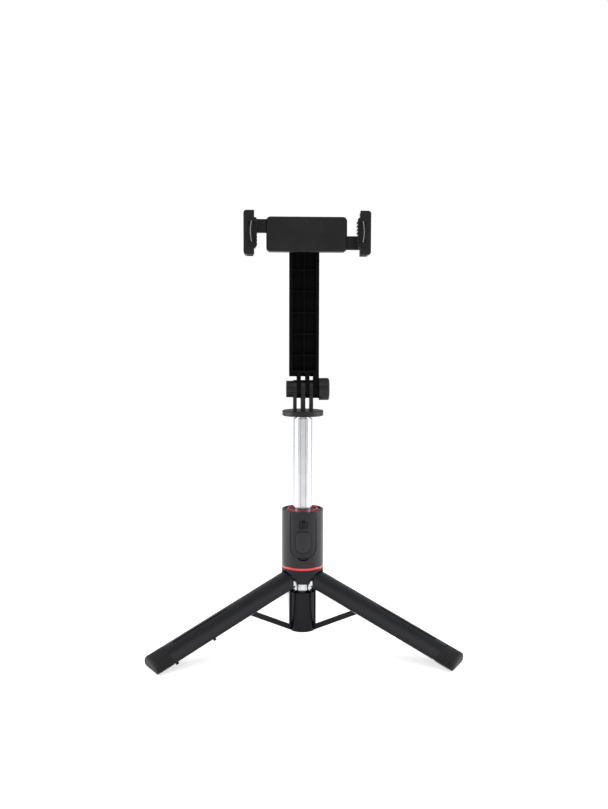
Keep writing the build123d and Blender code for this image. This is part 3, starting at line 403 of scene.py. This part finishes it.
def grip_rubber(name, dark, light, slope, start, pitch):
    """Rubber with grip grooves across the leg. slope is the leg's fall, start where they begin."""
    finish = Finish(name)
    flat = finish.node(
        "ShaderNodeVectorMath", {"operation": "MULTIPLY"}, {0: finish.place, 1: (1, 1, 0)}
    )
    reach = finish.node("ShaderNodeVectorMath", {"operation": "LENGTH"}, {0: flat}, output="Value")
    rise = finish.node("ShaderNodeSeparateXYZ", inputs={0: finish.place}, output="Z")
    along = (reach * math.cos(slope) - rise * math.sin(slope) - start) * (1 / pitch)
    wave = finish.node("ShaderNodeMath", {"operation": "SINE"}, {0: along * (2 * math.pi)})
    inside = marks(finish, along, 0.0, 0.02) * (1 - marks(finish, along * 0.2, 0.78, 0.80))
    groove_with_painted_shade = marks(finish, wave, 0.35, 0.7) * inside
    stipple = cloud(finish, 0.45, detail=3.0)
    skin = cloud(finish, 5.0, detail=2.0)
    shade = blend(finish, skin, dark, light)
    # The grooves are also made darker in colour: this is painted shade that stands for the shade
    # falling into them.
    shade = blend(finish, groove_with_painted_shade * 0.75, shade, (0.0015, 0.0015, 0.002, 1))
    height = stipple * 0.12 - groove_with_painted_shade
    return surface(finish, shade, 0.55 + skin * 0.15, height, 0.25, Specular_IOR_Level=0.25)


spreader_polish = polished_black("spreader_polish")
ring_red = painted_red("ring_red")
leg_slope = math.radians(21.8)
groove_start = 0.0983
groove_pitch = 0.0021
foot_rubber = grip_rubber(
    "foot_rubber", (0.007, 0.007, 0.008, 1), (0.011, 0.011, 0.012, 1),
    leg_slope, groove_start, groove_pitch,
)
pad_rubber = rubber("pad_rubber", (0.008, 0.008, 0.009, 1), (0.013, 0.013, 0.014, 1))
# This near-black finish is the pictogram's ink, and also the painted shadow laid over the gaps
# round the remote.
ink_and_painted_shadow = rubber("ink_and_painted_shadow", (0.0008, 0.0008, 0.001, 1), (0.0015, 0.0015, 0.002, 1))
print("polished, painted and rubber finishes made")

# %% [markdown]
# ## Metals
#
# The mast is thin steel tube that was drawn through a die and then chromed, so very fine lines run
# along it, and fingers leave cloudy prints. The pins are turned steel with rings round them, which
# here are fine noise. Two dark lines beside the tube's middle stand for a reflection.

# %% Chrome and steel finishes
def drawn_chrome(name):
    finish = Finish(name)
    reflection_beside = 1.75
    lines = cloud(finish, 0.35, detail=3.0, stretch=(1, 1, 0.004))
    deep = marks(finish, cloud(finish, 1.1, detail=2.0, stretch=(1, 1, 0.003)), 0.62, 0.68)
    prints = marks(finish, cloud(finish, 9.0, detail=4.0), 0.45, 0.75)
    across = finish.node("ShaderNodeSeparateXYZ", inputs={0: finish.place}, output="X")
    beside = finish.node("ShaderNodeMath", {"operation": "ABSOLUTE"}, {0: across * 1000})
    off_line = finish.node("ShaderNodeMath", {"operation": "ABSOLUTE"}, {0: beside - reflection_beside})
    # The two dark lines at that distance either side of the middle are a painted reflection in the
    # colour.
    line = 1 - marks(finish, off_line, 0.10, 0.34)
    shade = blend(finish, prints, (0.56, 0.565, 0.575, 1), (0.50, 0.505, 0.515, 1))
    shade = blend(finish, deep * 0.10, shade, (0.30, 0.31, 0.32, 1))
    shade = blend(finish, line * 0.55, shade, (0.16, 0.165, 0.17, 1))
    roughness = 0.13 + lines * 0.08 + prints * 0.06
    return surface(finish, shade, roughness, lines - deep * 0.5, 0.002, Metallic=1.0)


def turned_steel(name, shade, dull):
    finish = Finish(name)
    rings = cloud(finish, 0.25, detail=3.0)
    stain = cloud(finish, 2.5, detail=3.0)
    colour = blend(finish, stain, shade, dull)
    return surface(finish, colour, 0.24 + stain * 0.16, rings, 0.004, Metallic=1.0)


tube_chrome = drawn_chrome("tube_chrome")
pin_steel = turned_steel("pin_steel", (0.60, 0.60, 0.61, 1), (0.42, 0.42, 0.43, 1))
cell_steel = turned_steel("cell_steel", (0.72, 0.71, 0.69, 1), (0.58, 0.57, 0.55, 1))
print("metal finishes made")

# %% [markdown]
# ## Finishes that stay inside
#
# A remote that slides out or a mast that is pulled up shows parts that are hidden at rest: white
# bushes, the washer, the green circuit board. They get their own finishes too, because a part with
# one flat colour gives the whole model away as soon as it is opened.

# %% Inner finishes
def slippery_plastic(name, light, dark):
    finish = Finish(name)
    flow = cloud(finish, 4.0, detail=3.0, stretch=(1, 1, 0.3))
    rub = marks(finish, cloud(finish, 1.0, detail=4.0), 0.6, 0.75)
    shade = blend(finish, flow, light, dark)
    shade = blend(finish, rub * 0.25, shade, (0.30, 0.29, 0.27, 1))
    return surface(finish, shade, 0.42 + rub * 0.1, flow, 0.01)


def circuit_board(name):
    finish = Finish(name)
    weave = finish.node(
        "ShaderNodeTexVoronoi", {"feature": "F1", "distance": "MANHATTAN"},
        {"Vector": finish.place, "Scale": 900.0},
    )
    tracks = marks(finish, weave, 0.46, 0.50)
    lacquer = cloud(finish, 2.0)
    shade = blend(finish, lacquer, (0.010, 0.090, 0.030, 1), (0.014, 0.125, 0.042, 1))
    shade = blend(finish, tracks, shade, (0.03, 0.22, 0.08, 1))
    return surface(finish, shade, 0.28 + lacquer * 0.1, tracks, 0.03)


def clear_lens(name, dark, light):
    finish = Finish(name)
    haze = cloud(finish, 0.3)
    shade = blend(finish, haze, dark, light)
    return surface(finish, shade, 0.08 + haze * 0.1, haze, 0.004, Coat_Weight=0.5)


bush_white = slippery_plastic("bush_white", (0.72, 0.71, 0.68, 1), (0.60, 0.59, 0.56, 1))
sleeve_black = slippery_plastic("sleeve_black", (0.030, 0.030, 0.032, 1), (0.020, 0.020, 0.021, 1))
washer_nylon = slippery_plastic("washer_nylon", (0.46, 0.45, 0.42, 1), (0.38, 0.37, 0.34, 1))
switch_black = slippery_plastic("switch_black", (0.02, 0.02, 0.021, 1), (0.014, 0.014, 0.015, 1))
board_green = circuit_board("board_green")
lens_clear = clear_lens("lens_clear", (0.55, 0.60, 0.62, 1), (0.75, 0.80, 0.82, 1))
lens_smoked = clear_lens("lens_smoked", (0.010, 0.010, 0.012, 1), (0.020, 0.020, 0.024, 1))
print("inner finishes made")

# %% [markdown]
# ## Dressing the CAD parts
#
# A CAD mesh is a heap of loose triangles, with edges as sharp as a drawing. A real moulded edge is
# never perfectly sharp, and the tiny rounding is what catches the light. So each part that shows is
# copied, its triangles are joined, flat areas are made single faces, and a Bevel modifier rounds
# what is left. Weighted normals keep the large faces flat beside those small bevels. The copy then
# stands for the CAD part, which stays in place, unseen.

# %% Dress one part
def round_edges(piece, edge):
    """Round a piece's sharp edges by that many millimetres and keep its large faces flat."""
    rounding = piece.modifiers.new("rounding", "BEVEL")
    rounding.width = edge * MM
    rounding.segments = 2
    rounding.limit_method = "ANGLE"
    rounding.angle_limit = SHARP_EDGE
    shading = piece.modifiers.new("shading", "WEIGHTED_NORMAL")
    shading.keep_sharp = True


def dress(name, finish, edge=0.15):
    """A finished copy of a CAD node: joined, with its edges rounded by that many millimetres."""
    shape = bmesh.new()
    shape.from_mesh(nodes[name].data)
    bmesh.ops.remove_doubles(shape, verts=shape.verts, dist=2e-6)
    bmesh.ops.dissolve_limit(
        shape, angle_limit=math.radians(0.6), verts=shape.verts, edges=shape.edges
    )
    for face in shape.faces:
        face.smooth = True
    for seam in shape.edges:
        seam.smooth = not (seam.is_manifold and seam.calc_face_angle(0) > SHARP_EDGE)
    mesh = bpy.data.meshes.new(f"{name}_finished")
    shape.to_mesh(mesh)
    shape.free()
    for layer in ("custom_normal", "material_index"):
        if layer in mesh.attributes:
            mesh.attributes.remove(mesh.attributes[layer])
    mesh.materials.append(finish)
    piece = bpy.data.objects.new(f"{name}_finished", mesh)
    scene.collection.objects.link(piece)
    if edge:
        round_edges(piece, edge)
    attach(piece, nodes[name]["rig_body"])
    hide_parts(name)
    return piece


def paint(name, finish):
    """Give a CAD node that keeps its own mesh a better material."""
    mesh = nodes[name].data
    if not mesh.materials:
        mesh.materials.append(finish)
    for place in nodes[name].material_slots:
        place.material = finish


print("dress and paint ready")

# %% [markdown]
# ### Handle
#
# The handle is a round shell with a groove for the remote, a red ring, and the hub that the legs
# hinge on. The shell and hub come out of different moulds, which is why their shades differ.

# %% Dress the handle
handle = [
    dress("body_shell", shell_plastic, 0.18),
    dress("accent_ring", ring_red, 0),
    dress("red_collar", ring_red, 0.1),
    dress("leg_hub", hub_plastic, 0.15),
    dress("hub_screws", pin_steel, 0.05),
    dress("leg_hinge_pins", pin_steel, 0.1),
    dress("remote_front_case", remote_plastic, 0.15),
    dress("remote_back_case", remote_plastic, 0.1),
    dress("remote_button", button_plastic, 0),
]
paint("mast_sleeve", sleeve_black)
print("handle parts", len(handle))

# %% [markdown]
# ### Legs, struts and spreader
#
# Three shells close round the mast as the grip when they are folded. Each stands on a rubber foot
# and is held out by a flat strut that is pinned to the polished spreader on the mast's lower end.

# %% Dress the stand
stand = [
    dress("spreader", spreader_polish, 0.2),
    dress("spreader_screw", pin_steel, 0.1),
]
for side in ("left", "right", "rear"):
    stand.append(dress(f"leg_shell_{side}", leg_plastic, 0.25))
    stand.append(dress(f"leg_foot_{side}", foot_rubber, 0.2))
    stand.append(dress(f"strut_{side}", strut_plastic, 0.2))
    stand.append(dress(f"strut_pin_{side}", pin_steel, 0.1))
print("stand parts", len(stand))

# %% [markdown]
# ### Mast
#
# Five chromed tubes slide in each other, each inner one on a white bush. At rest only the outer one
# shows.

# %% Dress the mast
mast = []
for number in range(1, 6):
    mast.append(dress(f"mast_tube_{number}", tube_chrome, 0.06))
for number in range(2, 6):
    paint(f"mast_bush_{number}", bush_white)
paint("tube_plug", bush_white)
print("tubes", len(mast))

# %% [markdown]
# ### Head, neck and clamp
#
# The round base carries the fingers of the tilt joint, and the neck carries the clamp that turns on
# it. The jaws are pulled together by springs and hold the phone between rubber pads.

# %% Dress the head
head = [
    dress("mount_base", head_plastic, 0.2),
    dress("mount_base_pin", pin_steel, 0.05),
    dress("pivot_nut", head_plastic, 0.1),
    dress("neck_arm", neck_plastic, 0.25),
    dress("swivel_cover", head_plastic, 0),
    dress("swivel_washer", washer_nylon, 0.1),
    dress("thumb_knob", head_plastic, 0),
    dress("pivot_bolt", pin_steel, 0.1),
    dress("clamp_back_plate", clamp_plastic, 0.3),
    dress("clamp_front_cover", clamp_plastic, 0.3),
    dress("clamp_screws", pin_steel, 0.08),
]
for side in ("left", "right"):
    head.append(dress(f"{side}_jaw_arm", clamp_plastic, 0.35))
    head.append(dress(f"{side}_jaw_pad", pad_rubber, 0.4))
print("head parts", len(head))

# %% [markdown]
# ### Parts that are only seen when the stick is opened

# %% Paint the hidden parts
hidden = {
    "remote_board": board_green,
    "remote_battery": cell_steel,
    "battery_contact": cell_steel,
    "remote_switch": switch_black,
    "remote_led": lens_clear,
    "swivel_screw": pin_steel,
    "swivel_nut": pin_steel,
    "left_jaw_spring": pin_steel,
    "right_jaw_spring": pin_steel,
}
for name, finish in hidden.items():
    paint(name, finish)
print("hidden parts", len(hidden))

# %% [markdown]
# ## Small parts the CAD model doesn't carry
#
# A few details are too small to matter for the mechanism, and the eye still misses them: the
# pictogram printed on the remote, the lens over its light, the grip ribs on the jaw pads and the
# cap in the tilt knob. Each starts from one simple bmesh shape that operators then work on.

# %% A helper that turns a finished bmesh into a piece
def make_piece(name, shape, finish, body, edge=0.0):
    """Store the shape as an object that rides on a body."""
    for face in shape.faces:
        face.smooth = True
    mesh = bpy.data.meshes.new(name)
    shape.to_mesh(mesh)
    shape.free()
    mesh.materials.append(finish)
    piece = bpy.data.objects.new(name, mesh)
    scene.collection.objects.link(piece)
    if edge:
        round_edges(piece, edge)
    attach(piece, body)
    return piece


def rounded_plate(width, height, corner):
    """A flat face in the XZ plane with rounded corners, facing -Y."""
    shape = bmesh.new()
    bmesh.ops.create_grid(shape, x_segments=1, y_segments=1, size=0.5)
    bmesh.ops.scale(shape, vec=(width, height, 1), verts=shape.verts)
    bmesh.ops.bevel(
        shape, geom=shape.verts[:], offset=corner, segments=6, profile=0.5, affect="VERTICES",
        material=-1,
    )
    bmesh.ops.rotate(shape, matrix=Matrix.Rotation(math.pi / 2, 3, "X"), verts=shape.verts)
    return shape


print("piece helpers ready")

# %% [markdown]
# ### The pictogram on the remote
#
# Remotes of this kind carry a small camera sign above the button. It is pad-printed, a layer of ink
# a few hundredths of a millimetre thick. Text or an image would need a font or a picture file, so
# it is built from two frames and a plate, cut into strips and wrapped round the handle's curve.

# %% Print the pictogram
shell_low, shell_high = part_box("body_shell")
shell_radius = (shell_high.x - shell_low.x) / 2
icon_height = shell_high.z - 9.3 * MM


def wrap_on_handle(shape, radius):
    """Bend a flat shape in the XZ plane onto a cylinder about the mast's axis."""
    for step in range(-15, 16):
        bmesh.ops.bisect_plane(
            shape, geom=shape.verts[:] + shape.edges[:] + shape.faces[:], dist=1e-7,
            plane_co=(step * 0.7 * MM, 0, 0), plane_no=(1, 0, 0),
        )
    for vertex in shape.verts:
        turn = vertex.co.x / radius
        reach = radius - vertex.co.y
        vertex.co = (reach * math.sin(turn), -reach * math.cos(turn), vertex.co.z)


def frame_outline(width, height, corner, line):
    """A rounded frame: a plate that is inset, with its middle taken out."""
    shape = rounded_plate(width, height, corner)
    inner = shape.faces[:]
    bmesh.ops.inset_region(
        shape, faces=inner, thickness=line, use_even_offset=True, use_boundary=True
    )
    bmesh.ops.delete(shape, geom=inner, context="FACES_ONLY")
    return shape


def lay_ink_and_painted_shadow(name, shape, offset_x, offset_z, body="remote"):
    """Give the shape its thickness, wrap it and let it ride on the body: ink for the pictogram,
    painted shadow for the seams.
    """
    bmesh.ops.translate(shape, vec=(offset_x, 0, icon_height + offset_z), verts=shape.verts)
    bmesh.ops.solidify(shape, geom=shape.faces[:], thickness=0.05 * MM)
    wrap_on_handle(shape, shell_radius)
    bmesh.ops.recalc_face_normals(shape, faces=shape.faces)
    low = min(math.hypot(v.co.x, v.co.y) for v in shape.verts)
    for vertex in shape.verts:
        reach = math.hypot(vertex.co.x, vertex.co.y)
        scale = (reach - low + shell_radius - 0.02 * MM) / reach
        vertex.co.x *= scale
        vertex.co.y *= scale
    return make_piece(name, shape, ink_and_painted_shadow, body)


icon = [
    lay_ink_and_painted_shadow("icon_body", frame_outline(6.0 * MM, 4.8 * MM, 0.9 * MM, 0.75 * MM), 0, 0),
    lay_ink_and_painted_shadow("icon_lens", frame_outline(2.6 * MM, 2.6 * MM, 1.25 * MM, 0.65 * MM), 0, -0.1 * MM),
    lay_ink_and_painted_shadow("icon_hump", rounded_plate(2.6 * MM, 0.9 * MM, 0.25 * MM), 0, 2.8 * MM),
]
print("icon pieces", [o.name for o in icon])

# %% [markdown]
# ### Shadow seams round the remote and its button
#
# The remote lies in the handle with a fine gap round it, and the button stands in a gap of its own.
# The gaps are real in the CAD parts but too fine to show as the dark edges they should be. A thin
# dark frame, made like those of the pictogram, is laid over each gap to stand for its shadow.

# %% Lay the seams
case_corner = 7.0 * MM
button_corner = 4.0 * MM
case_line = 0.42 * MM
button_line = 0.46 * MM
strip_height = 8.4 * MM
case_low, case_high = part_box("remote_front_case")
button_low, button_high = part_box("remote_button")


def shadow_frame(name, low, high, corner, line, body, open_top=False):
    """A dark frame of painted shadow just outside the box from low to high, wrapped on the handle.
    """
    width = high.x - low.x + 2 * line
    height = high.z - low.z + 2 * line
    shape = frame_outline(width, height, corner + line, line)
    if open_top:
        bmesh.ops.bisect_plane(
            shape, geom=shape.verts[:] + shape.edges[:] + shape.faces[:], dist=1e-7,
            plane_co=(0, 0, height / 2 - corner - 2 * line), plane_no=(0, 0, 1), clear_outer=True,
        )
    return lay_ink_and_painted_shadow(name, shape, 0, (low.z + high.z) / 2 - icon_height, body)


# Every frame here is painted shadow: a dark layer laid over a gap where only shade falls.
painted_shadows = [
    shadow_frame(
        "remote_painted_shadow", case_low, case_high, case_corner, case_line, "handle", open_top=True
    ),
    shadow_frame("button_painted_shadow", button_low, button_high, button_corner, button_line, "remote"),
]
for number, side in ((0, -1), (1, 1)):
    strip = rounded_plate(case_line, strip_height, 0.05 * MM)
    reach = side * ((case_high.x - case_low.x) / 2 + case_line / 2)
    lift = case_high.z - 4.5 * MM - icon_height
    painted_shadows.append(lay_ink_and_painted_shadow(f"remote_painted_shadow_top_{number}", strip, reach, lift, "handle"))
print("painted_shadows", [o.name for o in painted_shadows])

# %% [markdown]
# ### The light's lens
#
# A small smoked dome fills the hole above the sign. It is the flattened half of a sphere.

# %% Make the lens
led_low, led_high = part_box("remote_led")
led_centre = (led_low + led_high) / 2
dome = bmesh.new()
bmesh.ops.create_uvsphere(dome, u_segments=24, v_segments=12, radius=0.58 * MM)
bmesh.ops.scale(dome, vec=(1, 0.55, 1), verts=dome.verts)
bmesh.ops.translate(
    dome, vec=(led_centre.x, -shell_radius + 0.30 * MM, led_centre.z), verts=dome.verts
)
led_dome = make_piece("led_dome", dome, lens_smoked, "remote")
print("led dome at", round(led_centre.z, 4))

# %% [markdown]
# ### Grip ribs on the jaw pads
#
# The pads grip a phone's edges with low upright ribs. One rib is a box with a generous bevel,
# and duplicates of it are stepped across the pad, which keeps the spacing even.

# %% Add the grip ribs
def grip_ribs(side, inward):
    """Low rounded ribs on the inner face of one pad. inward is +1 or -1 along X."""
    low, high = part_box(f"{side}_jaw_pad")
    face_x = high.x if inward > 0 else low.x
    depth = high.y - low.y
    shape = bmesh.new()
    count = 7
    for number in range(count):
        made = bmesh.ops.create_cube(shape, size=1)["verts"]
        bmesh.ops.scale(shape, vec=(0.34 * MM, depth * 0.62, 1.4 * MM), verts=made)
        step = (number - (count - 1) / 2) * (high.z - low.z) * 0.12
        bmesh.ops.translate(
            shape, vec=(face_x, (low.y + high.y) / 2 + 0.4 * MM, (low.z + high.z) / 2 + step),
            verts=made,
        )
    bmesh.ops.bevel(
        shape, geom=shape.edges[:], offset=0.14 * MM, segments=3, profile=0.5, affect="EDGES",
        material=-1,
    )
    return make_piece(f"{side}_pad_ribs", shape, pad_rubber, f"{side}_jaw")


ribs = [grip_ribs("left", 1), grip_ribs("right", -1)]
print("pad ribs", [len(o.data.polygons) for o in ribs])

# %% [markdown]
# ### The painted highlight bead on each pad
#
# The front lip of a pad shows a light arc, made here as a thin curved bead whose pale colour is a
# painted highlight. A small circle spun about an axis far to the side gives a bead of one even
# thickness along its arc.

# %% Add the beads
# The bead's pale grey is a painted highlight standing for the light arc on the pad's lip.
painted_highlight_gloss = moulded(
    "painted_highlight_gloss", (0.16, 0.16, 0.165, 1), (0.22, 0.22, 0.225, 1), 0.22, 0.4, 0.004, 0.5
)


def pad_highlight_bead(side, outward):
    """A curved bead on the front of one pad, pale as a painted highlight. outward is -1 or +1 along
    X.
    """
    low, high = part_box(f"{side}_jaw_pad")
    middle = (low + high) / 2
    radius = 34 * MM
    spread = math.radians(24)
    bead_x = middle.x + outward * 0.9 * MM
    centre = Vector((bead_x - outward * radius, low.y + 0.12 * MM, middle.z + 0.6 * MM))
    shape = bmesh.new()
    bmesh.ops.create_circle(shape, segments=12, radius=0.32 * MM)
    bmesh.ops.translate(shape, vec=(outward * radius, 0, 0), verts=shape.verts)
    bmesh.ops.rotate(
        shape, matrix=Matrix.Rotation(-spread / 2, 3, "Y"), cent=(0, 0, 0), verts=shape.verts
    )
    start = shape.edges[:]
    spun = bmesh.ops.spin(
        shape, geom=shape.verts[:] + start, cent=(0, 0, 0), axis=(0, 1, 0), angle=spread, steps=20
    )
    bmesh.ops.contextual_create(shape, geom=start)
    bmesh.ops.contextual_create(
        shape, geom=[g for g in spun["geom_last"] if isinstance(g, bmesh.types.BMEdge)]
    )
    bmesh.ops.recalc_face_normals(shape, faces=shape.faces)
    bmesh.ops.translate(shape, vec=centre, verts=shape.verts)
    return make_piece(f"{side}_pad_highlight_bead", shape, painted_highlight_gloss, f"{side}_jaw")


highlight_beads = [pad_highlight_bead("left", -1), pad_highlight_bead("right", 1)]
print("highlight_beads", [len(o.data.polygons) for o in highlight_beads])

# %% [markdown]
# ### The cap in the tilt knob
#
# The knob's end is closed by a pressed cap with a ring turned into it. A disc is pushed in and out
# by inset and extrude, which is how a lathe would step it.

# %% Make the knob cap
knob_low, knob_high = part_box("thumb_knob")
knob_centre = (knob_low + knob_high) / 2
cap = bmesh.new()
bmesh.ops.create_circle(cap, cap_ends=True, segments=48, radius=4.4 * MM)
base_face = cap.faces[:]
raised = bmesh.ops.extrude_face_region(cap, geom=base_face)
top = [g for g in raised["geom"] if isinstance(g, bmesh.types.BMFace)]
cap_height = 1.2 * MM
raised_verts = [g for g in raised["geom"] if isinstance(g, bmesh.types.BMVert)]
bmesh.ops.translate(cap, vec=(0, 0, cap_height), verts=raised_verts)
for inset_by, push in ((0.9 * MM, 0), (0.5 * MM, -0.5 * MM), (0.7 * MM, 0), (0.3 * MM, 0.5 * MM)):
    bmesh.ops.inset_region(cap, faces=top, thickness=inset_by, use_even_offset=True)
    bmesh.ops.translate(cap, vec=(0, 0, push), verts=list({v for f in top for v in f.verts}))
bmesh.ops.recalc_face_normals(cap, faces=cap.faces)
bmesh.ops.rotate(cap, matrix=Matrix.Rotation(math.pi / 2, 3, "Y"), verts=cap.verts)
bmesh.ops.translate(
    cap, vec=(knob_high.x - 1.95 * MM, knob_centre.y, knob_centre.z), verts=cap.verts
)
knob_cap = make_piece("knob_cap", cap, head_plastic, "thumb_screw", 0.08)
print("knob cap faces", len(knob_cap.data.polygons))

# %% [markdown]
# ## Floor
#
# The stick stands on a plain pale table top. It is one large sheet with a faint mottle, so that the
# feet have something to throw a soft shadow on.

# %% Lay the floor
floor_finish = Finish("pale_floor")
floor_shade = blend(
    floor_finish, cloud(floor_finish, 60.0), (0.93, 0.93, 0.93, 1), (0.96, 0.96, 0.96, 1)
)
floor_roughness = 0.75 + cloud(floor_finish, 20.0) * 0.1
floor_material = surface(
    floor_finish, floor_shade, floor_roughness, cloud(floor_finish, 1.0), 0.01,
    Specular_IOR_Level=0.1, Emission_Color=(1, 1, 1, 1), Emission_Strength=0.56,
)
sheet = bmesh.new()
bmesh.ops.create_grid(sheet, x_segments=4, y_segments=4, size=6.0)
bmesh.ops.translate(sheet, vec=(0, 0, cad_box[0][2] - 0.02 * MM), verts=sheet.verts)
floor_mesh = bpy.data.meshes.new("floor")
sheet.to_mesh(floor_mesh)
sheet.free()
floor_mesh.materials.append(floor_material)
floor = bpy.data.objects.new("floor", floor_mesh)
scene.collection.objects.link(floor)
print("floor laid at", round(cad_box[0][2], 5))

# %% [markdown]
# ## The size
#
# The finished model has to fill the same box as the CAD model. The CAD model's box is printed.

# %% Print the CAD box
print("cad box", [[round(x, 4) for x in c] for c in cad_box])
